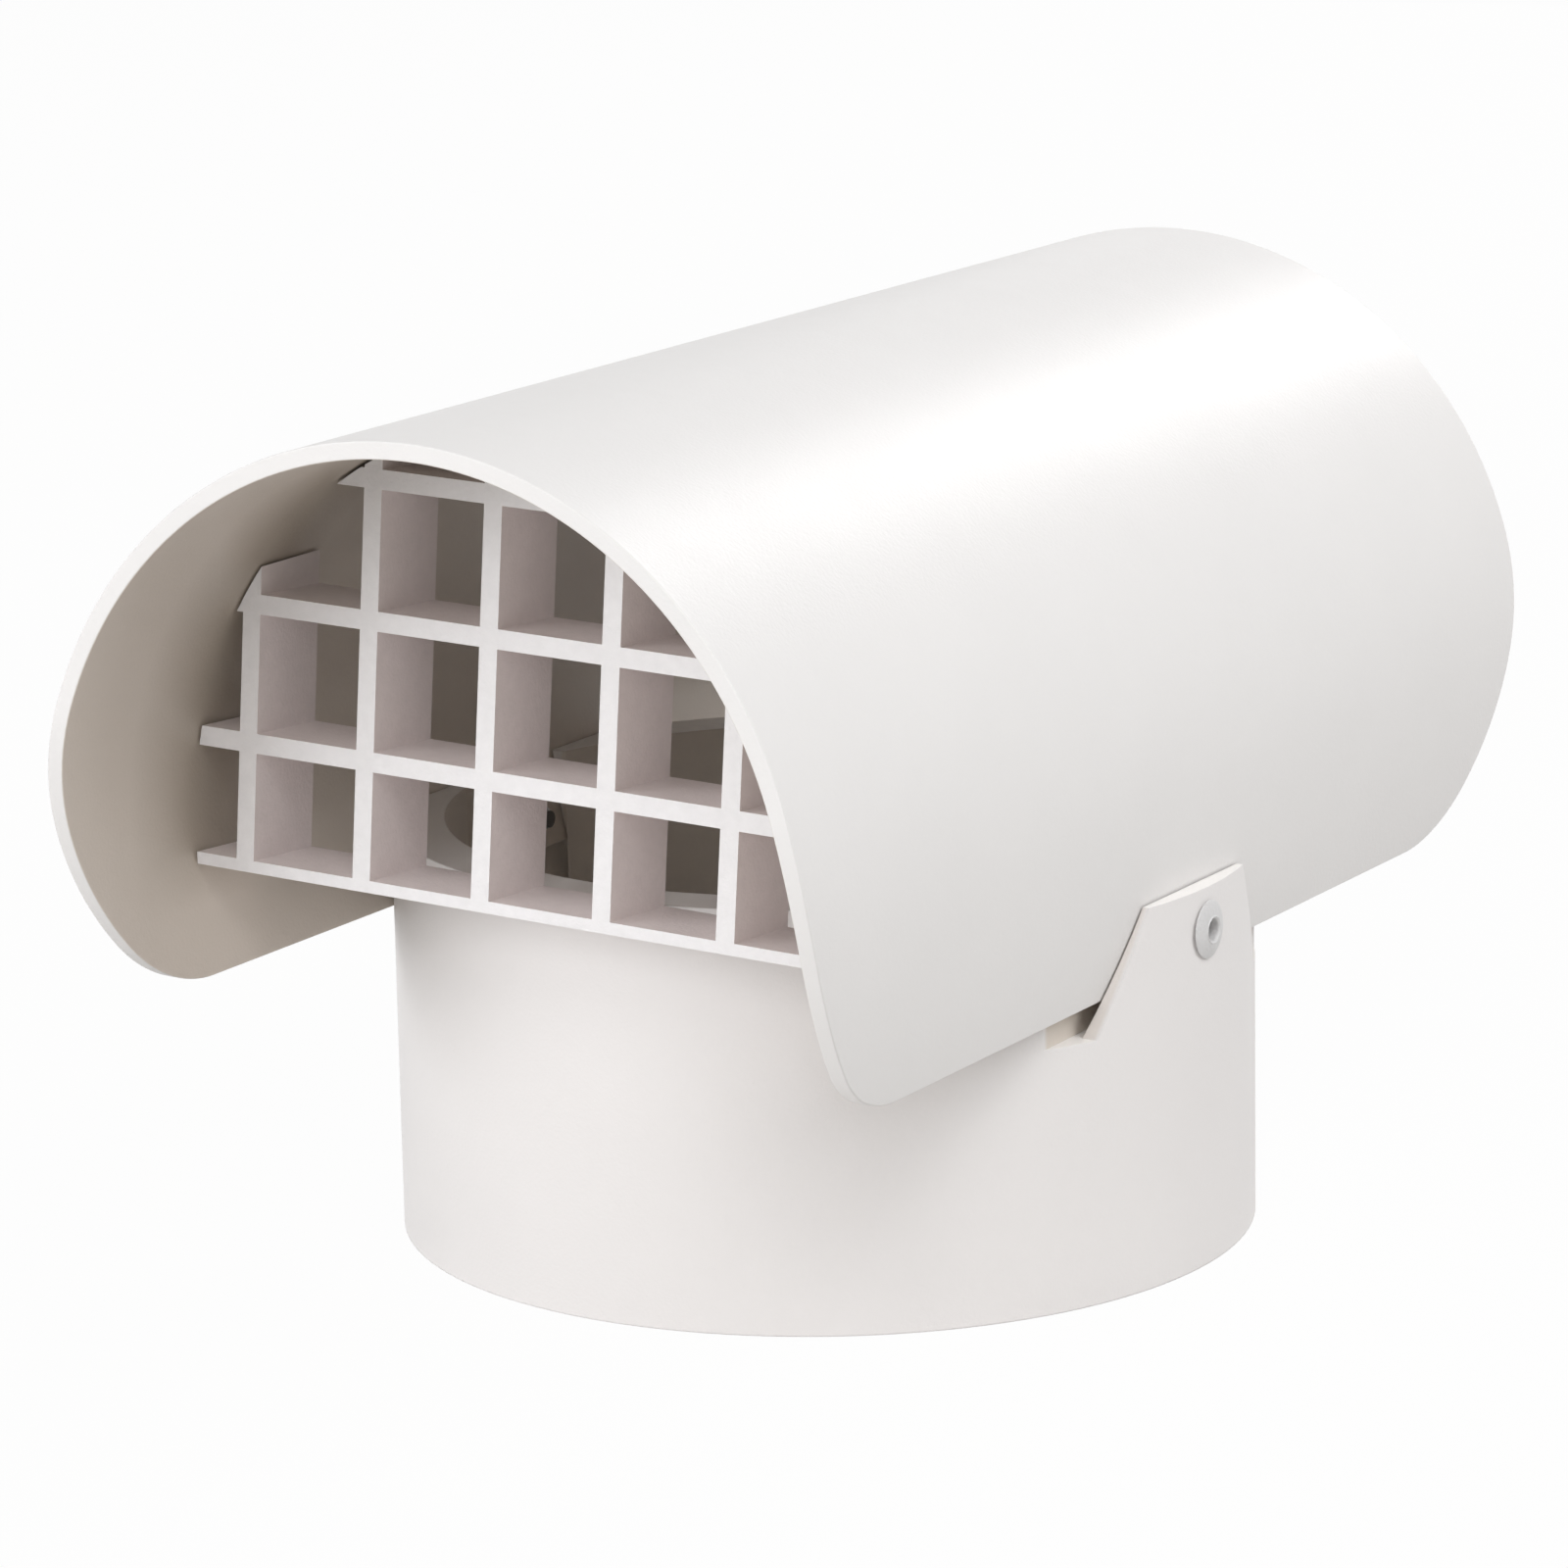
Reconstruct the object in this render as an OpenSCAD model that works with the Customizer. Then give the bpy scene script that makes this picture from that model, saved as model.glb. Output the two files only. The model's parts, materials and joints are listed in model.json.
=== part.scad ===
// Radon vent cap: a short pipe collar with two ears, a rolled tunnel hood riveted to the ears,
// and an egg-crate grille glued in each mouth of the hood. Millimetres, +Z up,
// Z = 0 at the bottom edge of the collar, Z axis along the collar, Y axis along the hood.

/* [Collar] */
// Outside diameter of the collar, a stub of 3-inch schedule 40 plastic pipe
pipe_outer_diameter = 88.9; // [86:0.1:92]
// Wall of the collar
pipe_wall = 5.49; // [5.2:0.1:5.8]
// Height of the top of the right ear; the other heights follow it
ear_top_height = 39.2; // [36:0.2:42]
// Rise of the rim above the top of the right ear
rim_rise = 3.8; // [3.4:0.1:4.6]
// Half the width of an ear at its top
ear_top_half_width = 10.2; // [9:0.2:12]
// Half the width of an ear at the slot floor
ear_foot_half_width = 17; // [16:0.2:18.4]
// Gap between the inner face of the right slot and the lower edge of the hood
slot_clear = 0.25; // [0.15:0.05:0.5]
// Reach of the windows behind the rivets past the places where the slots meet the bore
window_margin = 0.2; // [0.1:0.1:2]
// Drop of the slot floor below the lower right edge of the hood
slot_floor_drop = 3.2; // [2:0.1:5]

/* [Hood] */
// Depth of the outside of the hood below the outside of the collar, at the hood axis
hood_inset = 1.9; // [1.7:0.1:2.4]
// Wall of the hood
hood_wall = 1.75; // [1.5:0.05:2]
// Outside radius of the flatter sides below the hood axis
hood_side_radius = 72; // [68:0.5:90]
// Rise of the hood axis above the top of the right ear
hood_rise = 11.35; // [10.8:0.05:12]
// Sideways offset of the hood toward the right ear
hood_offset = 0.9; // [0:0.1:1]
// Roll of the hood about its own axis, right side down, in degrees
hood_roll = 2.05; // [1:0.05:2.5]
// Half the length of the hood
hood_half_length = 76.6; // [72:0.1:84]
// Drop of the lower edges below the hood axis
hood_drop = 18.75; // [18:0.05:20]
// Length of a rounded lower corner, along the hood
corner_length = 21.9; // [20:0.1:24]
// Height of a rounded lower corner
corner_height = 31.5; // [30:0.2:35]
// Radius of the tight lower arc of a corner
corner_radius = 16; // [14:0.5:18]

/* [Grilles] */
// Spacing of the grille bars, both ways
bar_pitch = 13.85; // [13.3:0.05:14]
// Width of the upright bars
upright_width = 2.05; // [1.6:0.05:2.4]
// Height of the level bars
crossbar_height = 1.95; // [1.6:0.05:2.4]
// Thickness of the thin sill bar along the lower edge of a grille
sill_thickness = 1.2; // [1:0.1:1.6]
// Depth of a grille, front to back
grille_depth = 9.85; // [9:0.05:10.2]
// Gap between the collar and the foot of a grille
grille_clear = 0.4; // [0.3:0.1:1.5]
// Lean of the grilles, tops toward the middle of the hood, in degrees
grille_lean = 3.5; // [2:0.05:4]
// Sideways place of the upright bar nearest the middle, seen from the front
upright_shift = -6.7; // [-7:0.1:-5.5]
// Height of the middle level bar above the hood axis
crossbar_rise = 19.2; // [18.4:0.1:19.6]
// Gap between the bar ends and the inner wall of the hood, filled with glue
glue_gap = 0.3; // [0.2:0.05:0.4]

/* [Rivets] */
// Drop of the rivets below the tops of the ears
rivet_drop = 4.3; // [3.9:0.1:4.7]
// Diameter of the rivet body
rivet_diameter = 3.2; // [3:0.1:3.4]
// Diameter of the rivet flange
flange_diameter = 5.9; // [5.4:0.1:6.4]
// Height of the domed flange
flange_height = 0.95; // [0.8:0.05:1.1]
// Diameter of the hole through the rivet
rivet_bore = 2.2; // [2:0.1:2.3]
// Diameter of the broken mandrel inside the rivet
mandrel_diameter = 1.8; // [1.6:0.1:1.9]

/* [Hidden] */
$fn = 96;

pipe_radius = pipe_outer_diameter / 2;
bore_radius = pipe_radius - pipe_wall;
hood_radius = pipe_radius - hood_inset;
slot_fit = 0.2;          // gap between the hood and the ears, and the left slot
drill_fit = 0.05;        // radial gap round the rivet body
far = 120;               // reach of cutting shapes, past every face
cut = 1;                 // run-out of a cutting shape

// the roll lifts the left side of the hood and lowers the right side
side_rise = hood_radius * sin(hood_roll);
function ear_top(s) = ear_top_height + (1 - s) * side_rise;
function rivet_height(s) = ear_top(s) - rivet_drop;
hood_axis_height = ear_top_height + hood_rise;
function edge_height(s) = hood_axis_height - hood_drop - s * side_rise;
slot_floor_height = edge_height(1) - slot_floor_drop;
rim_height = ear_top_height + rim_rise;

// centre line of the flatter side wall on one side of the hood, seen along Y
side_inset = hood_side_radius - hood_radius;
function side_centre_x(s) = hood_offset - s * side_inset * cos(hood_roll);
function side_centre_z(s) = hood_axis_height + s * side_inset * sin(hood_roll);
function side_x(s, z, r) = side_centre_x(s) + s * sqrt(pow(r, 2) - pow(z - side_centre_z(s), 2));

// inner faces of the slots at the lower edges of the hood, measured from the collar axis:
// the right one lies just inside the hood wall, the left one against it
slot_inner_right = side_x(1, edge_height(1), hood_side_radius - hood_wall) - slot_clear;
slot_inner_left = -side_x(-1, edge_height(-1), hood_side_radius - hood_wall - slot_fit);
slot_inner_least = min(slot_inner_right, slot_inner_left);
window_half_width = sqrt(pow(bore_radius, 2) - pow(slot_inner_least, 2)) + window_margin;

corner_lead = 0.1;       // reach of the corner arcs past the mouth and the lower edge
ear_root = 4;            // depth the ear stock runs down into the collar below the slot floor

bulb_radius = 1.5 * rivet_diameter / 2;
bulb_length = 3.4;
bulb_seat = 0.05;        // gap between the rivet bulb and the hood wall
flange_seat = 0.02;      // gap between the rivet flange and the ear
flange_rim = 0.35;       // straight rim of the flange below its dome
mandrel_recess = 1.3;    // depth of the broken mandrel end below the top of the flange
mandrel_head = 1.45;     // radius of the mandrel head at the blind end

last_upright = floor((hood_radius - hood_wall - 2 - upright_shift) / bar_pitch);
first_upright = -floor((hood_radius - hood_wall - 2 + upright_shift) / bar_pitch);
sill_rise = 1.5;         // the sill bar stands this much nearer to the bar above than one pitch
sill_level = sill_rise - 2 * bar_pitch;
grille_face = pipe_radius + grille_clear + grille_depth + sill_level * tan(grille_lean);

// places and turns a shape drawn on the hood axis into the hood as it is fitted
module in_hood() {
  translate([hood_offset, 0, hood_axis_height])
    rotate([0, hood_roll, 0])
      children();
}

// solid bar along Y with the outline of the hood, its surface set in by an inset
module hood_bar(inset, half_length) {
  rotate([90, 0, 0])
    linear_extrude(height = 2 * half_length, center = true) {
      intersection() {
        circle(r = hood_radius - inset);
        translate([-far, 0]) square([2 * far, far]);
      }
      intersection() {
        translate([-side_inset, 0]) circle(r = hood_side_radius - inset);
        translate([side_inset, 0]) circle(r = hood_side_radius - inset);
        translate([-far, -hood_drop - 2 * cut]) square([2 * far, hood_drop + 2 * cut]);
      }
    }
}

// what rounds off one lower corner in the side view: all that lies past a wide upper arc,
// and past a tight lower arc below it. The arcs reach a little past the mouth, each other
// and the lower edge, so that they cross at a slight angle.
module corner_waste() {
  length = corner_length + corner_lead;
  height = corner_height + corner_lead;
  wide_radius = (pow(length, 2) + pow(height - corner_radius, 2) - pow(corner_radius, 2))
    / (2 * (length - corner_radius));
  wide_centre = [wide_radius - length, 0];
  tight_centre = [0, corner_radius - height];
  joint_way = (tight_centre - wide_centre) / norm(tight_centre - wide_centre);
  linear_extrude(height = 2 * far, center = true)
    difference() {
      translate([-length - cut, -height - cut]) square([length + cut, height + cut]);
      translate(wide_centre) circle(r = wide_radius);
    }
  linear_extrude(height = 2 * far, center = true)
    difference() {
      polygon([
        tight_centre,
        tight_centre + far * joint_way,
        tight_centre + far * (joint_way + [0, -1]),
        tight_centre + far * [0, -1]
      ]);
      translate(tight_centre + corner_lead * joint_way) circle(r = corner_radius);
    }
}

// both lower corners of the hood taken off, through both sides
module corner_cuts() {
  rotate([90, 0, 90])
    for (end = [0, 1])
      mirror([end, 0, 0])
        translate([corner_length - hood_half_length, corner_height - hood_drop, 0])
          corner_waste();
}

// hole drilled for the rivet on one side
module rivet_hole(s) {
  translate([s * bore_radius, 0, rivet_height(s)])
    rotate([0, 90, 0])
      cylinder(d = rivet_diameter + 2 * drill_fit, h = bore_radius, center = true, $fn = 48);
}

// everything outside the flat inner face of the right slot, above a height
module beyond_right_slot(z) {
  translate([slot_inner_right, -far, z]) cube([far, 2 * far, far]);
}

// everything outside the inner face of the left slot, above a height: the face lies
// against the inner wall of the hood, and is upright below the lower edge of the hood
module beyond_left_slot(z) {
  difference() {
    translate([-far, -far, z]) cube([far, 2 * far, far]);
    translate([-slot_inner_left, -2 * far, z - cut]) cube([far, 4 * far, 2 * far]);
    translate([side_centre_x(-1), 0, side_centre_z(-1)])
      rotate([90, 0, 0])
        cylinder(r = hood_side_radius - hood_wall - slot_fit, h = 3 * far, center = true, $fn = 180);
  }
}

// window between the bore and the slots, behind the blind ends of the rivets
module windows() {
  translate([-pipe_radius - cut, -window_half_width, slot_floor_height])
    cube([2 * (pipe_radius + cut), 2 * window_half_width, far]);
}

// ear on one side: the outer part of the pipe wall, cut to a trapezoid
module ear(s) {
  slope = (ear_foot_half_width - ear_top_half_width) / (ear_top(s) - slot_floor_height);
  root = slot_floor_height - ear_root;
  difference() {
    intersection() {
      cylinder(r = pipe_radius, h = ear_top(s));
      rotate([90, 0, 90])
        linear_extrude(height = 2 * far, center = true)
          polygon([
            [-ear_foot_half_width - slope * ear_root, root],
            [ear_foot_half_width + slope * ear_root, root],
            [ear_top_half_width, ear_top(s)],
            [-ear_top_half_width, ear_top(s)]
          ]);
      if (s > 0) beyond_right_slot(0);
      else beyond_left_slot(0);
    }
    translate([side_centre_x(s), 0, side_centre_z(s)])
      rotate([90, 0, 0])
        cylinder(r = hood_side_radius + slot_fit, h = 2 * far, center = true, $fn = 180);
  }
}

module collar() {
  color([0.87, 0.86, 0.84])
    difference() {
      union() {
        difference() {
          cylinder(r = pipe_radius, h = rim_height);
          beyond_right_slot(slot_floor_height);
          beyond_left_slot(slot_floor_height);
          windows();
        }
        for (s = [-1, 1]) ear(s);
      }
      translate([0, 0, -cut]) cylinder(r = bore_radius, h = rim_height + 2 * cut);
      for (s = [-1, 1]) rivet_hole(s);
    }
}

module hood() {
  color([0.87, 0.86, 0.84])
    difference() {
      in_hood()
        difference() {
          difference() {
            hood_bar(0, hood_half_length);
            hood_bar(hood_wall, hood_half_length + cut);
          }
          translate([-far, -far, -far - hood_drop]) cube([2 * far, 2 * far, far]);
          corner_cuts();
        }
      for (s = [-1, 1]) rivet_hole(s);
    }
}

// bars of one grille, on a plane through its middle level bar, before they are cut to the hood
module bars() {
  for (i = [first_upright : last_upright])
    translate([i * bar_pitch - upright_width / 2, 0, sill_level - sill_thickness / 2])
      cube([upright_width, grille_depth, 3 * bar_pitch + far / 4]);
  for (k = [-1, 0, 1])
    translate([-far / 2, 0, k * bar_pitch - crossbar_height / 2])
      cube([far, grille_depth, crossbar_height]);
  translate([-far / 2, 0, sill_level - sill_thickness / 2])
    cube([far, grille_depth, sill_thickness]);
}

module grille() {
  in_hood()
    intersection() {
      translate([upright_shift, -grille_face, crossbar_rise])
        rotate([-grille_lean, 0, 0])
          bars();
      hood_bar(hood_wall + glue_gap, hood_half_length);
    }
}

module grille_front() {
  color([0.93, 0.91, 0.91]) grille();
}

module grille_back() {
  color([0.93, 0.91, 0.91]) mirror([0, 1, 0]) grille();
}

// place along X where the rivet bulb on one side meets the inner wall of the hood
function bulb_x(s) = abs(side_x(s, rivet_height(s) - bulb_radius, hood_side_radius - hood_wall)) - bulb_seat;

// blind rivet along +X: domed flange outside the ear, body, bulb inside the hood wall
module blind_rivet(seat, height) {
  dome = flange_height - flange_rim;
  dome_radius = (pow(flange_diameter / 2, 2) + pow(dome, 2)) / (2 * dome);
  translate([0, 0, height])
    rotate([0, 90, 0])
      difference() {
        union() {
          intersection() {
            translate([0, 0, pipe_radius + flange_seat])
              cylinder(d = flange_diameter, h = flange_height, $fn = 48);
            translate([0, 0, pipe_radius + flange_seat + flange_height - dome_radius])
              sphere(r = dome_radius, $fn = 64);
          }
          translate([0, 0, seat - bulb_length / 2])
            cylinder(d = rivet_diameter, h = pipe_radius + flange_height / 2 - seat + bulb_length / 2, $fn = 48);
          translate([0, 0, seat - 0.6 * bulb_length])
            cylinder(r = bulb_radius, h = 0.6 * bulb_length, $fn = 48);
          translate([0, 0, seat - bulb_length])
            cylinder(r1 = rivet_diameter / 2, r2 = bulb_radius, h = 0.4 * bulb_length, $fn = 48);
        }
        cylinder(d = rivet_bore, h = far, $fn = 48);
      }
}

// broken mandrel along +X: stem inside the rivet, head over the blind end
module mandrel(seat, height) {
  top = pipe_radius + flange_seat + flange_height - mandrel_recess;
  translate([0, 0, height])
    rotate([0, 90, 0]) {
      translate([0, 0, seat - bulb_length - mandrel_head])
        cylinder(d = mandrel_diameter, h = top - seat + bulb_length + mandrel_head, $fn = 48);
      intersection() {
        translate([0, 0, seat - bulb_length]) sphere(r = mandrel_head, $fn = 48);
        translate([0, 0, seat - bulb_length - 2 * mandrel_head])
          cylinder(r = 2 * mandrel_head, h = 2 * mandrel_head, $fn = 48);
      }
    }
}

module rivet_right() {
  color([0.85, 0.84, 0.83]) blind_rivet(bulb_x(1), rivet_height(1));
}

module rivet_left() {
  color([0.85, 0.84, 0.83]) mirror([1, 0, 0]) blind_rivet(bulb_x(-1), rivet_height(-1));
}

module mandrel_right() {
  color([0.45, 0.44, 0.43]) mandrel(bulb_x(1), rivet_height(1));
}

module mandrel_left() {
  color([0.45, 0.44, 0.43]) mirror([1, 0, 0]) mandrel(bulb_x(-1), rivet_height(-1));
}

collar();
hood();
grille_front();
grille_back();
rivet_right();
rivet_left();
mandrel_right();
mandrel_left();
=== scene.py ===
import json
import math

import bpy
import numpy as np
from mathutils import Matrix, Vector
from mathutils.geometry import delaunay_2d_cdt


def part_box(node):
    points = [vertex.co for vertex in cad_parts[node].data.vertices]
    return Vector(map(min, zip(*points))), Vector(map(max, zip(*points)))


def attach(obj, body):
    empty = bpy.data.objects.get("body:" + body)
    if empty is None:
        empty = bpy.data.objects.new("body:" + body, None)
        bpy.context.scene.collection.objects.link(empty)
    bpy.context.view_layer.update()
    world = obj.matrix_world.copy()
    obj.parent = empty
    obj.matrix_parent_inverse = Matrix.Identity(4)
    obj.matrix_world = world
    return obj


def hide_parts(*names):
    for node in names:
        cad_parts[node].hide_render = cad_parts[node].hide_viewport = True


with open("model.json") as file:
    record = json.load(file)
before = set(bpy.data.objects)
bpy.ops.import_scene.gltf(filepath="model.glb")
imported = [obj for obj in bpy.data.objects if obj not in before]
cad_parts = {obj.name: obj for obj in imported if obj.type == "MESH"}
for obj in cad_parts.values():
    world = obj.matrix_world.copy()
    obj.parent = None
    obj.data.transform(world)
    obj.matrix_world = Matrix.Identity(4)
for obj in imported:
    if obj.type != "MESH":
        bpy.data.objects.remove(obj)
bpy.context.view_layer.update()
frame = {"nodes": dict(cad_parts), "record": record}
NODES = frame["nodes"]
SLOTS = {s["node"]: s["material_slot"] for s in frame["record"]["subparts"]}

# Sizes of the part, in millimetres, as in its CAD source
MM = 0.001
PIPE_RADIUS = 44.45
HOOD_RADIUS = 42.55
HOOD_WALL = 1.75
SIDE_RADIUS = 72.0
SIDE_INSET = SIDE_RADIUS - HOOD_RADIUS
HOOD_OFFSET = 0.9
HOOD_ROLL = math.radians(2.05)
SIDE_RISE = HOOD_RADIUS * math.sin(HOOD_ROLL)
EAR_TOP = 39.2
AXIS_HEIGHT = EAR_TOP + 11.35
HALF_LENGTH = 76.6
HOOD_DROP = 18.75
CORNER_LENGTH = 21.9
CORNER_HEIGHT = 31.5
CORNER_RADIUS = 16.0
RIVET_DROP = 4.3
RIVET_HOLE = 1.65
BAR_PITCH = 13.85
UPRIGHT_WIDTH = 2.05
CROSSBAR_HEIGHT = 1.95
SILL_THICKNESS = 1.2
GRILLE_DEPTH = 9.85
GRILLE_LEAN = math.radians(3.5)
UPRIGHT_SHIFT = -6.7
CROSSBAR_RISE = 19.2
GLUE_GAP = 0.3
SILL_LEVEL = 1.5 - 2 * BAR_PITCH
GRILLE_FACE = PIPE_RADIUS + 0.4 + GRILLE_DEPTH + SILL_LEVEL * math.tan(GRILLE_LEAN)


# Materials

def srgb(r, g, b):
    """Linear colour from display values 0 to 255."""
    def lin(v):
        v = v / 255.0
        return v / 12.92 if v <= 0.04045 else ((v + 0.055) / 1.055) ** 2.4
    return (lin(r), lin(g), lin(b), 1.0)


def noise(nt, vector, scale, detail=2.0):
    """Noise of a scale, in waves per metre."""
    n = nt.nodes.new("ShaderNodeTexNoise")
    n.inputs["Scale"].default_value = scale
    n.inputs["Detail"].default_value = detail
    nt.links.new(vector, n.inputs["Vector"])
    return n.outputs["Fac"]


def spread(nt, value, low, high):
    """A value from 0 to 1 spread between two others."""
    r = nt.nodes.new("ShaderNodeMapRange")
    r.inputs["To Min"].default_value = low
    r.inputs["To Max"].default_value = high
    nt.links.new(value, r.inputs["Value"])
    return r.outputs["Result"]


def bump(nt, height, strength, distance, under=None):
    """Bump from a height, in metres, laid over another normal."""
    b = nt.nodes.new("ShaderNodeBump")
    b.inputs["Strength"].default_value = strength
    b.inputs["Distance"].default_value = distance
    nt.links.new(height, b.inputs["Height"])
    if under is not None:
        nt.links.new(under, b.inputs["Normal"])
    return b.outputs["Normal"]


def blend_colour(nt, share, a, b):
    """Colour between two, each a value or a socket."""
    mix = nt.nodes.new("ShaderNodeMix")
    mix.data_type = "RGBA"
    for key, c in (("A", a), ("B", b)):
        if isinstance(c, bpy.types.NodeSocket):
            nt.links.new(c, mix.inputs[key])
        else:
            mix.inputs[key].default_value = c
    nt.links.new(share, mix.inputs["Factor"])
    return mix.outputs["Result"]


def step_at(nt, value, start, end):
    """0 up to a start value and 1 from an end value."""
    r = nt.nodes.new("ShaderNodeMapRange")
    r.inputs["From Min"].default_value = start
    r.inputs["From Max"].default_value = end
    nt.links.new(value, r.inputs["Value"])
    return r.outputs["Result"]


def sawn_and_lit_top_mask(nt, place):
    """1 on faces that look up, which were sawn, and 0 on the others. Their paler colour is partly a sawn finish and
    partly painted light on these tops.
    """
    axes = nt.nodes.new("ShaderNodeSeparateXYZ")
    nt.links.new(nt.nodes.new("ShaderNodeTexCoord").outputs["Normal"], axes.inputs[0])
    return step_at(nt, axes.outputs["Z"], 0.8, 0.95)


def length_along(nt, place, axes):
    """Length of the part of a vector that lies along some axes."""
    flat = nt.nodes.new("ShaderNodeVectorMath")
    flat.operation = "MULTIPLY"
    flat.inputs[1].default_value = axes
    nt.links.new(place, flat.inputs[0])
    length = nt.nodes.new("ShaderNodeVectorMath")
    length.operation = "LENGTH"
    nt.links.new(flat.outputs["Vector"], length.inputs[0])
    return length.outputs["Value"]


def combine(nt, operation, a, b):
    m = nt.nodes.new("ShaderNodeMath")
    m.operation = operation
    nt.links.new(a, m.inputs[0])
    nt.links.new(b, m.inputs[1])
    return m.outputs["Value"]


def bore_mask(nt, place):
    """1 in the bore of the collar and on the inner side of its slots, where painted shade is laid, and 0 elsewhere.
    """
    radius = length_along(nt, place, (1.0, 1.0, 0.0))
    bore = step_at(nt, radius, 0.0400, 0.0392)
    within = step_at(nt, radius, 0.0443, 0.0440)
    inner = step_at(nt, length_along(nt, place, (1.0, 0.0, 0.0)), 0.0424, 0.0420)
    high = step_at(nt, length_along(nt, place, (0.0, 0.0, 1.0)), 0.0262, 0.0270)
    normal = nt.nodes.new("ShaderNodeTexCoord").outputs["Normal"]
    sideways = step_at(nt, length_along(nt, normal, (1.0, 0.0, 0.0)), 0.85, 0.95)
    # painted shade is full on the slots' inner faces that look sideways, and weaker on their other faces
    shade = spread(nt, combine(nt, "MULTIPLY", inner, sideways), 0.45, 1.0)
    slot = combine(nt, "MULTIPLY", combine(nt, "MULTIPLY", within, high), shade)
    return combine(nt, "MAXIMUM", bore, slot)


def side_mask(nt, place):
    """1 on faces that look across the tunnel, where a painted shade tint is laid, and 0 on those that look along
    it.
    """
    normal = nt.nodes.new("ShaderNodeTexCoord").outputs["Normal"]
    return step_at(nt, length_along(nt, normal, (0.0, 1.0, 0.0)), 0.8, 0.6)


def depth_mask(nt, place):
    """1 on the inside of a wall whose mesh carries its depth, where painted shade is laid, and 0 outside it."""
    depth = nt.nodes.new("ShaderNodeAttribute")
    depth.attribute_name = "depth"
    return step_at(nt, depth.outputs["Fac"], 0.93, 0.99)


def grille_end_shade_mask(nt, place):
    """1 on the inside of the hood along the bar ends of a grille, fading toward the mouth, where painted shade is
    laid.
    """
    along = length_along(nt, place, (0.0, 1.0, 0.0))
    mouth_side = step_at(nt, along, 0.0650, 0.0545)
    far_side = step_at(nt, along, 0.0420, 0.0500)
    high = step_at(nt, length_along(nt, place, (0.0, 0.0, 1.0)), 0.0400, 0.0460)
    band = combine(nt, "MULTIPLY", combine(nt, "MULTIPLY", mouth_side, far_side), high)
    return combine(nt, "MULTIPLY", band, depth_mask(nt, place))


def plastic(name, colour, rough, grain, layers=(), mottle=0.02, patches=60.0, rounding=0.0):
    """Extruded or moulded plastic: a faint patchy change of colour, roughness that varies a
    little, a low waviness and a fine grain. Each layer is a mask and the colour it lays over
    what is below. Rounding softens the sharp edges of a CAD mesh."""
    m = bpy.data.materials.new(name)
    m.use_nodes = True
    nt = m.node_tree
    bsdf = nt.nodes["Principled BSDF"]
    place = nt.nodes.new("ShaderNodeTexCoord").outputs["Object"]

    cloud = noise(nt, place, patches, 4.0)

    def clouded(c):
        low = [v * (1.0 - mottle) for v in c[:3]] + [1.0]
        high = [min(1.0, v * (1.0 + mottle)) for v in c[:3]] + [1.0]
        return blend_colour(nt, cloud, low, high)

    shown = clouded(colour)
    for mask, layer_colour in layers:
        shown = blend_colour(nt, mask(nt, place), shown, clouded(layer_colour))
    nt.links.new(shown, bsdf.inputs["Base Color"])
    nt.links.new(spread(nt, noise(nt, place, 420.0), rough - 0.05, rough + 0.05), bsdf.inputs["Roughness"])

    soft = None
    if rounding > 0:
        bevel = nt.nodes.new("ShaderNodeBevel")
        bevel.samples = 6
        bevel.inputs["Radius"].default_value = rounding
        soft = bevel.outputs["Normal"]
    wave = bump(nt, noise(nt, place, 150.0, 1.0), 0.35, 0.00012, soft)
    nt.links.new(bump(nt, noise(nt, place, 2600.0, 3.0), grain, 0.0001, wave), bsdf.inputs["Normal"])
    return m


def metal(name, colour, rough):
    """Dull steel with fine scratches in its roughness."""
    m = bpy.data.materials.new(name)
    m.use_nodes = True
    nt = m.node_tree
    bsdf = nt.nodes["Principled BSDF"]
    bsdf.inputs["Base Color"].default_value = colour
    bsdf.inputs["Metallic"].default_value = 0.9
    place = nt.nodes.new("ShaderNodeTexCoord").outputs["Object"]
    scratch = noise(nt, place, 1400.0)
    nt.links.new(spread(nt, scratch, rough - 0.12, rough + 0.12), bsdf.inputs["Roughness"])
    nt.links.new(bump(nt, scratch, 0.6, 0.0001), bsdf.inputs["Normal"])
    return m


# Painted shade: a darker, warmer colour on the inner walls of the hood and of the collar's bore and slots, standing
# in for the shade inside them
INNER_PAINTED_SHADE = srgb(217, 208, 198)
# Paler colour for the up-facing sawn faces: partly a sawn finish, partly painted light standing in for bounce light
# on their tops
SAWN_AND_LIT_TOP = srgb(246, 243, 240)
# Painted shade: a warmer tint on the grille's cell walls, standing in for the shade between the bars
CELL_WALL_SHADE_TINT = srgb(236, 227, 226)
# Painted shade: a darker band on the hood's inner wall beside the grille's bar ends, standing in for the shadow
# there
GRILLE_END_SHADE = srgb(184, 174, 162)
MATS = {
    "pipe_plastic": plastic("pipe_plastic", srgb(231, 228, 227), 0.5, 0.3, rounding=0.00025,
                            layers=[(bore_mask, INNER_PAINTED_SHADE), (sawn_and_lit_top_mask, SAWN_AND_LIT_TOP)]),
    "hood_plastic": plastic("hood_plastic", srgb(228, 226, 225), 0.42, 0.3,
                            layers=[(depth_mask, INNER_PAINTED_SHADE), (grille_end_shade_mask, GRILLE_END_SHADE)]),
    "grille_plastic": plastic("grille_plastic", srgb(230, 228, 229), 0.55, 0.6, mottle=0.06, patches=900.0,
                              layers=[(side_mask, CELL_WALL_SHADE_TINT)]),
    "rivet_paint": plastic("rivet_paint", srgb(208, 207, 207), 0.45, 0.9, mottle=0.06, patches=900.0),
    "mandrel_steel": metal("mandrel_steel", srgb(100, 97, 94), 0.5),
}


# Mesh pieces

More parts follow.
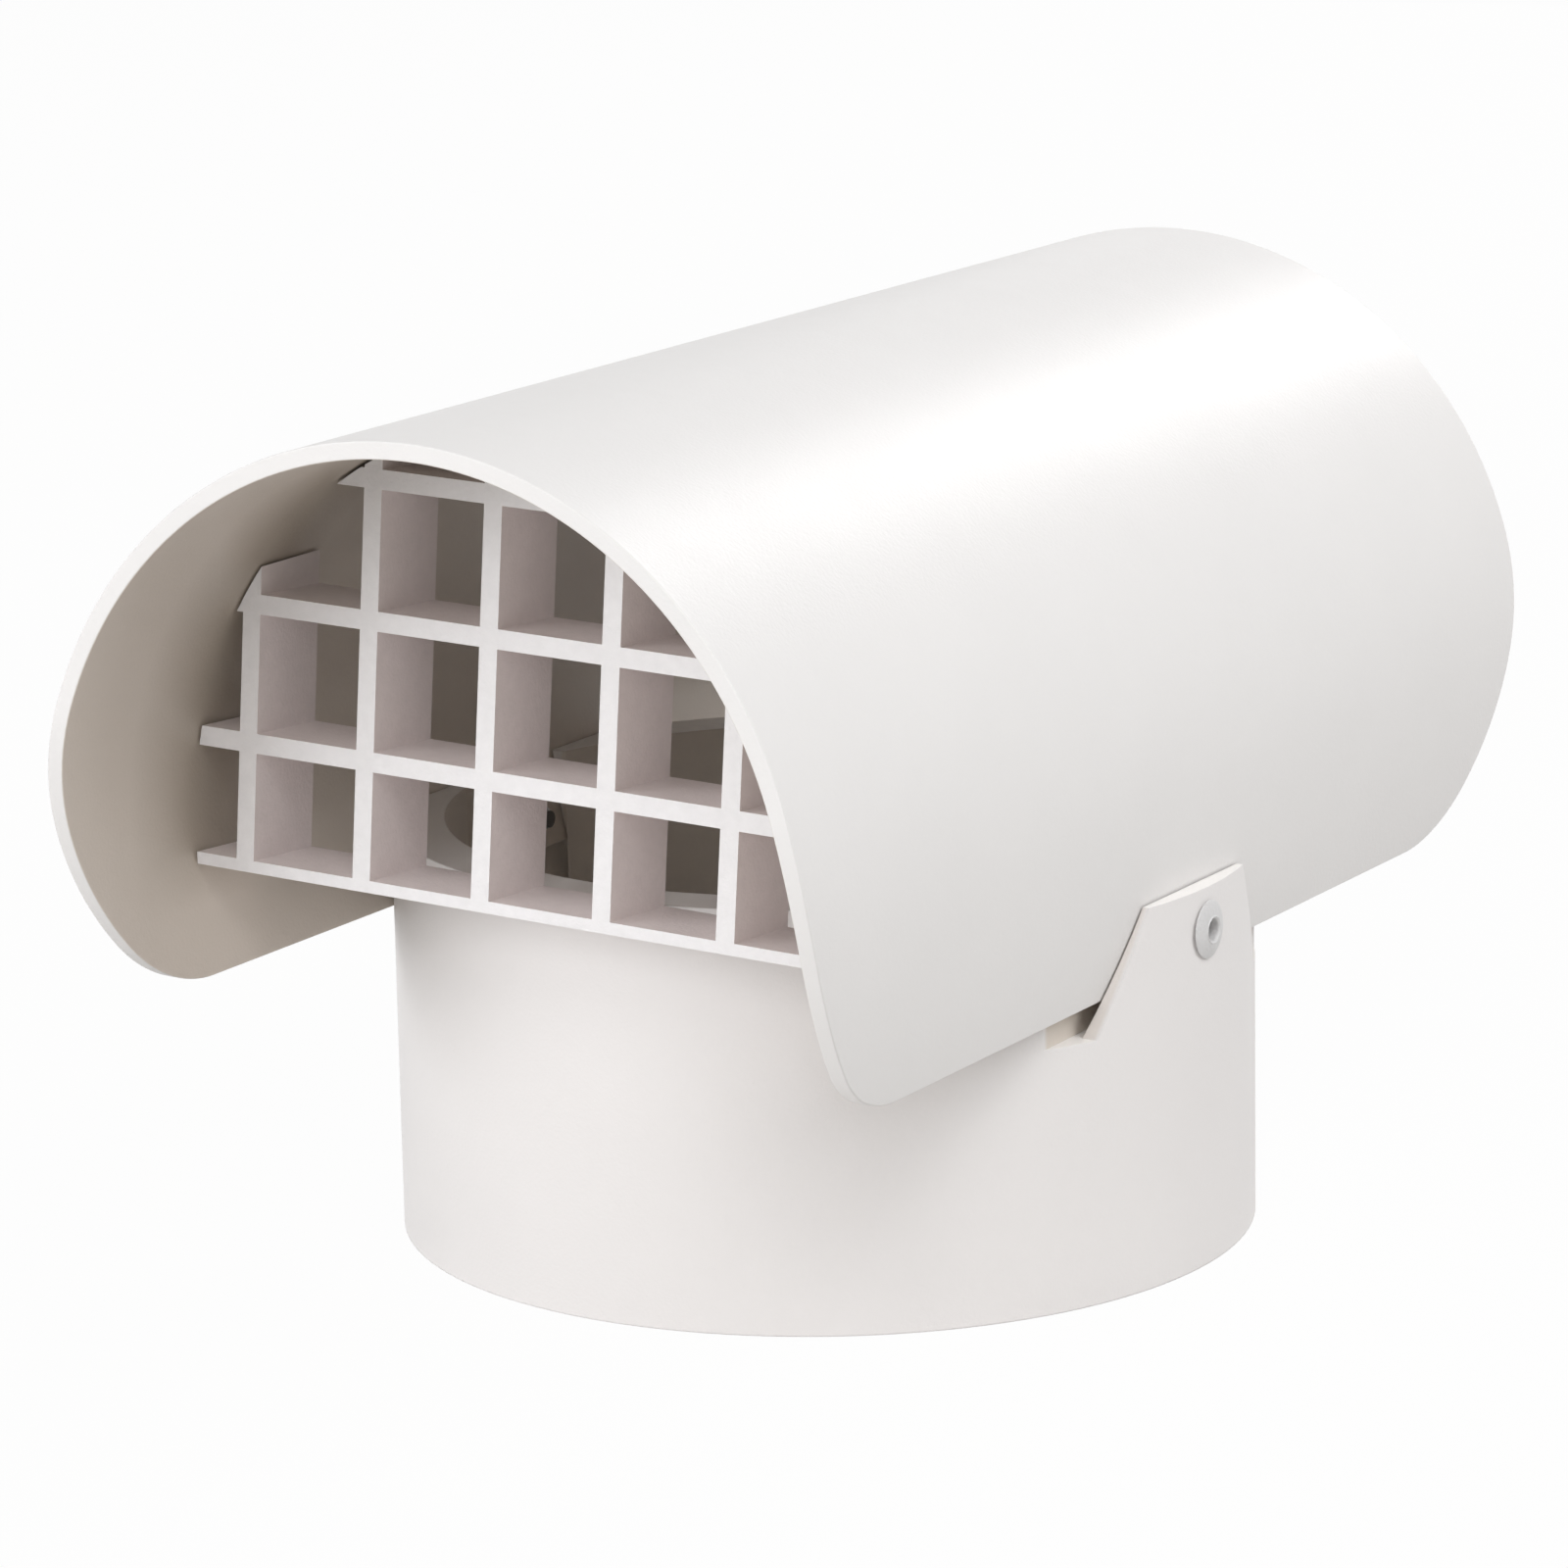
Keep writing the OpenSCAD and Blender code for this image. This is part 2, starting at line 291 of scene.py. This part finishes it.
def piece(name, points, faces, node, normals=None):
    """Makes a smooth piece from points in millimetres, to stand for a CAD node."""
    mesh = bpy.data.meshes.new(name)
    mesh.from_pydata([tuple(p) for p in np.asarray(points) * MM], [], faces)
    mesh.validate()
    mesh.shade_smooth()
    if normals is None:
        mesh.set_sharp_from_angle(angle=math.radians(32))
    else:
        mesh.normals_split_custom_set_from_vertices([tuple(n) for n in normals])
    obj = bpy.data.objects.new(name, mesh)
    bpy.context.scene.collection.objects.link(obj)
    slot = SLOTS[node]
    mesh.materials.append(MATS[slot])
    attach(obj, "root")
    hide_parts(node)
    return obj


def unit(v):
    return v / np.linalg.norm(v, axis=1, keepdims=True)


def inward(loop):
    """Mitred way into the material at each point of a closed loop with it on the left."""
    way = unit(np.roll(loop, -1, 0) - loop)
    left = np.stack([-way[:, 1], way[:, 0]], 1)
    both = unit(left + np.roll(left, 1, 0))
    return both / np.maximum((both * left).sum(1, keepdims=True), 0.4)


def inside(points, loops):
    """Which points lie inside an odd number of loops."""
    odd = np.zeros(len(points), bool)
    for loop in loops:
        for (x0, y0), (x1, y1) in zip(loop, np.roll(loop, -1, 0)):
            if y0 != y1:
                hit = (points[:, 1] > min(y0, y1)) & (points[:, 1] <= max(y0, y1))
                odd ^= hit & (points[:, 0] < x0 + (points[:, 1] - y0) * (x1 - x0) / (y1 - y0))
    return odd


def triangles(loops, grid):
    """Triangles of the flat area inside the loops, as indices into the loops' points and the grid."""
    points = np.vstack(loops + [grid])
    edges, start = [], 0
    for loop in loops:
        n = len(loop)
        edges += [(start + i, start + (i + 1) % n) for i in range(n)]
        start += n
    made, _, faces, source, _, _ = delaunay_2d_cdt([Vector(p) for p in points], edges, [], 0, 1e-6)
    made = np.array([tuple(v) for v in made])
    faces = np.array(faces)
    faces = faces[inside(made[faces].mean(1), loops)]
    a, b, c = (made[faces[:, i]] for i in range(3))
    turn = (b[:, 0] - a[:, 0]) * (c[:, 1] - a[:, 1]) - (b[:, 1] - a[:, 1]) * (c[:, 0] - a[:, 0])
    faces[turn < 0] = faces[turn < 0][:, ::-1]
    back = [s[0] for s in source]
    return [tuple(back[i] for i in f) for f in faces]


def plate(loops, grid, place, depth, edge, steps=3):
    """Closed shell of a wall with rounded edges. Its outline loops and grid points are laid
    flat, and place(points, depth) puts them in space. Gives points, normals, faces, and how
    deep in the wall each point lies, from 0 to 1."""
    def facing(flat, d):
        h = 0.01
        along = place(flat + [h, 0], d) - place(flat - [h, 0], d)
        across = place(flat + [0, h], d) - place(flat - [0, h], d)
        return unit(np.cross(along, across))

    turns = [math.pi / 2 * j / steps for j in range(steps + 1)]
    rings = [(edge * (1 - math.sin(t)), edge * (1 - math.cos(t)), 0.0, math.cos(t), math.sin(t)) for t in turns]
    rings += [(e, depth - d, depth, -c, s) for e, d, _, c, s in reversed(rings)]

    points, normals, faces, depths, count = [], [], [], [], 0
    ring_at = []
    for loop in loops:
        n = len(loop)
        into = inward(loop)
        ring_at.append(count)
        for e, d, skin, c, s in rings:
            out = unit(place(loop - 0.02 * into, d) - place(loop, d))
            points.append(place(loop + e * into, d))
            normals.append(unit(c * facing(loop + e * into, skin) + s * out))
            depths += [d / depth] * n
        for k in range(len(rings) - 1):
            a, b = count + k * n, count + (k + 1) * n
            faces += [(a + i, b + i, b + (i + 1) % n, a + (i + 1) % n) for i in range(n)]
        count += n * len(rings)
    for d, sign in ((0.0, 1), (depth, -1)):
        if len(grid):
            points.append(place(grid, d))
            normals.append(sign * facing(grid, d))
            depths += [d / depth] * len(grid)
    front = [at + i for at, loop in zip(ring_at, loops) for i in range(len(loop))]
    last = [at + (len(rings) - 1) * len(loop) + i for at, loop in zip(ring_at, loops) for i in range(len(loop))]
    front += [count + i for i in range(len(grid))]
    last += [count + len(grid) + i for i in range(len(grid))]
    for a, b, c in triangles([loop + edge * inward(loop) for loop in loops], grid):
        faces.append((front[a], front[b], front[c]))
        faces.append((last[c], last[b], last[a]))
    return np.vstack(points), np.vstack(normals), faces, depths


def steps_between(start, end, longest):
    """Points along a straight line, without its end."""
    start, end = np.array(start, float), np.array(end, float)
    n = max(1, math.ceil(np.linalg.norm(end - start) / longest))
    return [start + (end - start) * i / n for i in range(n)]


# Hood

def in_hood(p):
    """Puts points drawn on the hood axis into the hood as it is fitted."""
    c, s = math.cos(HOOD_ROLL), math.sin(HOOD_ROLL)
    x, y, z = p.T
    return np.stack([HOOD_OFFSET + x * c + z * s, y, AXIS_HEIGHT - x * s + z * c], 1)


def half_width(z, inset):
    """Half the width of the hood at a height above its axis, its surface set in by an inset."""
    upper = np.sqrt(np.maximum((HOOD_RADIUS - inset) ** 2 - z ** 2, 0))
    lower = np.sqrt((SIDE_RADIUS - inset) ** 2 - z ** 2) - SIDE_INSET
    return np.where(z > 0, upper, lower)


# The wall is laid flat by its arc from the crown down to the turn, and by height below it
TURN_HEIGHT = CORNER_HEIGHT - HOOD_DROP
TURN_OUTER = math.asin(TURN_HEIGHT / HOOD_RADIUS)
TURN_INNER = math.asin(TURN_HEIGHT / (HOOD_RADIUS - HOOD_WALL))
HALF_ARC = HOOD_RADIUS * (math.pi / 2 - TURN_OUTER)


def hood_place(flat, d):
    """Point of the hood wall from the arc off the crown and the way along, at a depth."""
    a, y = flat.T
    b = np.abs(a)
    f = d / HOOD_WALL
    z_low = np.clip(TURN_HEIGHT + HALF_ARC - b, -HOOD_DROP - 1, TURN_HEIGHT)
    x_low = half_width(z_low, 0) * (1 - f) + half_width(z_low, HOOD_WALL) * f
    share = np.clip((HALF_ARC - b) / HALF_ARC, 0, 1)
    outer = TURN_OUTER + share * (math.pi / 2 - TURN_OUTER)
    inner = TURN_INNER + share * (math.pi / 2 - TURN_INNER)
    ro, ri = HOOD_RADIUS * (1 - f), (HOOD_RADIUS - HOOD_WALL) * f
    low = b > HALF_ARC
    x = np.where(low, x_low, ro * np.cos(outer) + ri * np.cos(inner)) * np.where(a < 0, -1, 1)
    z = np.where(low, z_low, ro * np.sin(outer) + ri * np.sin(inner))
    return in_hood(np.stack([x, y, z], 1))


def hood_outline():
    """Outline of the hood wall laid flat, with a wide and a tight arc at each lower corner."""
    wide = (CORNER_LENGTH ** 2 + (CORNER_HEIGHT - CORNER_RADIUS) ** 2 - CORNER_RADIUS ** 2)
    wide /= 2 * (CORNER_LENGTH - CORNER_RADIUS)
    joint = math.atan2(CORNER_HEIGHT - CORNER_RADIUS, wide - CORNER_LENGTH)
    corner = [(wide * math.sin(t), wide - wide * math.cos(t)) for t in np.linspace(0, joint, 26)]
    corner += [(CORNER_HEIGHT - CORNER_RADIUS + CORNER_RADIUS * math.sin(t),
                CORNER_LENGTH - CORNER_RADIUS * math.cos(t))
               for t in np.linspace(joint, math.pi / 2, 18)[1:]]
    down, far_in = HALF_ARC + CORNER_HEIGHT, HALF_LENGTH - CORNER_LENGTH
    right = [np.array([HALF_ARC + h, w - HALF_LENGTH]) for h, w in corner[:-1]]
    right += steps_between((down, -far_in), (down, far_in), 2.0)
    right += [np.array([HALF_ARC + h, HALF_LENGTH - w]) for h, w in reversed(corner[1:])]
    mouth = steps_between((HALF_ARC, HALF_LENGTH), (-HALF_ARC, HALF_LENGTH), 1.2)
    half = right + mouth
    return np.array(half + [-p for p in half])


def ring_hole(centre, radius, count=40):
    """Round hole in a plate, its points run clockwise."""
    t = -2 * math.pi * np.arange(count) / count
    return np.stack([centre[0] + radius * np.cos(t), centre[1] + radius * np.sin(t)], 1)


def rivet_height(side):
    return EAR_TOP + (1 - side) * SIDE_RISE - RIVET_DROP


def make_hood():
    outline = hood_outline()
    loops = [outline]
    for side in (1, -1):
        reach = HOOD_RADIUS - 1 - HOOD_OFFSET * side
        z = side * reach * math.sin(HOOD_ROLL) + (rivet_height(side) - AXIS_HEIGHT) * math.cos(HOOD_ROLL)
        loops.append(ring_hole((side * (HALF_ARC + TURN_HEIGHT - z), 0), RIVET_HOLE))
    reach = HALF_ARC + CORNER_HEIGHT
    a, y = np.meshgrid(np.arange(-reach, reach, 1.25), np.arange(-HALF_LENGTH, HALF_LENGTH, 4.0))
    grid = np.stack([a.ravel(), y.ravel()], 1)
    grid = grid[inside(grid, loops)]
    edge_points = np.vstack(loops)
    gap = np.array([np.hypot(*(edge_points - g).T).min() for g in grid])
    grid = grid[gap > 1.1]
    points, normals, faces, depths = plate(loops, grid, hood_place, HOOD_WALL, 0.16)
    hood = piece("hood_wall", points, faces, "hood", normals)
    depth = hood.data.attributes.new("depth", "FLOAT", "POINT")
    depth.data.foreach_set("value", depths)
    return hood


# Rivets

def lathe(profile, side, height, count=72):
    """Turns a profile of (way along X, radius) about a rivet's axis. The profile is closed
    where it meets the axis."""
    points, faces, rows = [], [], []
    for x, r in profile:
        if r < 1e-6:
            rows.append([len(points)])
            points.append((side * x, 0, height))
            continue
        rows.append(list(range(len(points), len(points) + count)))
        for i in range(count):
            t = 2 * math.pi * i / count
            points.append((side * x, r * math.cos(t), height + r * math.sin(t)))
    for a, b in zip(rows, rows[1:] + ([rows[0]] if len(rows[0]) > 1 else [])):
        for i in range(count):
            j = (i + 1) % count
            quad = [a[i % len(a)], a[j % len(a)], b[j % len(b)], b[i % len(b)]]
            quad = list(dict.fromkeys(quad))
            faces.append(quad if side > 0 else quad[::-1])
    return points, faces


def make_rivets():
    for name, side in (("right", 1), ("left", -1)):
        height = rivet_height(side)
        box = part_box("rivet_" + name)
        lows, highs = (np.array(b) / MM for b in box)
        top = max(abs(lows[0]), abs(highs[0]))
        blind = min(abs(lows[0]), abs(highs[0]))
        base = top - 0.95
        flange, bore, body, bulb = 2.95, 1.1, 1.6, 2.4
        dome = []
        for t in np.linspace(0.32, 0.97, 12):
            r = flange * t
            dome.append((top - 0.62 * (r / flange) ** 2.1, r))
        outside = [(top - 0.34, bore), (top - 0.2, bore + 0.03), (top - 0.09, bore + 0.12)]
        outside += [(top - 0.03, bore + 0.26)] + [p for p in dome if p[1] > bore + 0.34]
        outside += [(base + 0.33, flange - 0.02), (base + 0.29, flange), (base + 0.24, flange - 0.02),
                    (base + 0.04, flange - 0.34), (base, flange - 0.42)]
        under = [(base, body + 0.05), (blind + 3.4, body), (blind + 3.32, bulb - 0.25), (blind + 3.16, bulb - 0.07),
                 (blind + 2.9, bulb), (blind + 1.7, bulb), (blind + 1.36, bulb - 0.04), (blind + 1.1, bulb - 0.16)]
        under += [(blind + 0.12, body + 0.06), (blind, body - 0.05), (blind, bore)]
        profile = outside + under
        points, faces = lathe(profile, side, height)
        piece("blind_rivet_" + name, points, [f[::-1] for f in faces], "rivet_" + name)


make_hood()
make_rivets()

for name in ("collar", "grille_front", "grille_back", "mandrel_right", "mandrel_left"):
    node = NODES[name]
    for s in node.material_slots:
        s.material = MATS[SLOTS[name]]
    if not node.material_slots:
        node.data.materials.append(MATS[SLOTS[name]])


# Floor, backdrop and light

def seen_white(nt):
    """1 for what the camera sees, by itself, in a gloss or through glass, and 0 for light."""
    path = nt.nodes.new("ShaderNodeLightPath").outputs
    seen = path["Is Camera Ray"]
    for kind in ("Is Glossy Ray", "Is Transmission Ray"):
        seen = combine(nt, "MAXIMUM", seen, path[kind])
    return seen


def show_white(nt, shader, share):
    """Shows a surface as white where it is seen, and keeps a share of its shadow."""
    part = nt.nodes.new("ShaderNodeMath")
    part.operation = "MULTIPLY"
    part.inputs[1].default_value = share
    nt.links.new(seen_white(nt), part.inputs[0])
    white = nt.nodes.new("ShaderNodeEmission")
    mix = nt.nodes.new("ShaderNodeMixShader")
    nt.links.new(part.outputs["Value"], mix.inputs["Fac"])
    nt.links.new(shader, mix.inputs[1])
    nt.links.new(white.outputs["Emission"], mix.inputs[2])
    return mix.outputs["Shader"]


FLOOR_COLOUR = (0.62, 0.605, 0.585, 1.0)
FLOOR_WHITE = 0.97
WORLD_LEVEL = 0.17
WORLD_COLOUR = (1.0, 0.93, 0.86, 1.0)
AIM = (0.0, 0.0, 0.05)
LAMPS = (
    ("left_front", (-0.67, -0.92, 0.26), AIM, (0.9, 0.8), 9.3, (0.98, 1.0, 1.02)),
    ("front", (0.30, -1.10, 0.45), AIM, (0.8, 0.5), 2.7, (1.0, 1.0, 1.0)),
    ("front_high", (0.50, -0.80, 0.95), AIM, (0.5, 0.5), 3.2, (1.0, 1.0, 1.0)),
    ("top_right", (0.78, 0.1, 0.72), AIM, (0.7, 0.7), 6.1, (0.98, 1.0, 1.02)),
    ("back_top", (0.05, 1.05, 0.72), AIM, (0.26, 0.6), 2.9, (1.0, 1.0, 1.0)),
    ("back", (-0.2, 1.1, 0.3), AIM, (0.8, 0.7), 0.9, (1.0, 1.0, 1.0)),
)

bpy.ops.mesh.primitive_plane_add(size=8.0, location=(0, 0, 0))
floor = bpy.context.object
floor.name = "floor"
matt = bpy.data.materials.new("floor_matt")
matt.use_nodes = True
floor_bsdf = matt.node_tree.nodes["Principled BSDF"]
floor_bsdf.inputs["Base Color"].default_value = FLOOR_COLOUR
floor_bsdf.inputs["Roughness"].default_value = 0.9
matt.node_tree.links.new(show_white(matt.node_tree, floor_bsdf.outputs["BSDF"], FLOOR_WHITE),
                         matt.node_tree.nodes["Material Output"].inputs["Surface"])
floor.data.materials.append(matt)

world = bpy.data.worlds.new("studio")
bpy.context.scene.world = world
world.use_nodes = True
wn, wl = world.node_tree.nodes, world.node_tree.links
bg = wn["Background"]
bg.inputs["Color"].default_value = WORLD_COLOUR
bg.inputs["Strength"].default_value = WORLD_LEVEL
seen_bg = wn.new("ShaderNodeBackground")
seen_bg.inputs["Color"].default_value = (1.0, 1.0, 1.0, 1.0)
seen_bg.inputs["Strength"].default_value = 1.0
wmix = wn.new("ShaderNodeMixShader")
wl.new(seen_white(world.node_tree), wmix.inputs["Fac"])
wl.new(bg.outputs["Background"], wmix.inputs[1])
wl.new(seen_bg.outputs["Background"], wmix.inputs[2])
wl.new(wmix.outputs["Shader"], wn["World Output"].inputs["Surface"])


def area(name, loc, target, size, power, colour):
    """A soft rectangular lamp that points at a target."""
    d = bpy.data.lights.new(name, "AREA")
    d.shape = "RECTANGLE"
    d.size, d.size_y = size
    d.energy = power
    d.color = colour
    o = bpy.data.objects.new(name, d)
    bpy.context.scene.collection.objects.link(o)
    o.location = loc
    o.rotation_euler = (Vector(target) - Vector(loc)).to_track_quat("-Z", "Y").to_euler()
    return o


for lamp in LAMPS:
    area(*lamp)

# Camera

scene = bpy.context.scene
cam_data = bpy.data.cameras.new("camera")
cam = bpy.data.objects.new("camera", cam_data)
scene.collection.objects.link(cam)
scene.camera = cam
cam_data.sensor_width = 36.0
cam_data.lens = 36.0 * 6366.24 / 1600.0
cam_data.clip_start = 0.05
cam_data.clip_end = 20.0
# camera axes in the part's frame, from matching the photo's edges
RIGHT = Vector((0.8574346, 0.5142438, -0.0189562))
DOWN = Vector((0.0994684, -0.2017681, -0.9743694))
AHEAD = Vector((-0.5048881, 0.8335724, -0.2241539))
turn = Matrix((RIGHT, -DOWN, -AHEAD)).transposed()
cam.matrix_world = Matrix.Translation((0.32126, -0.53800, 0.18941)) @ turn.to_4x4()

scene.view_settings.view_transform = "Standard"
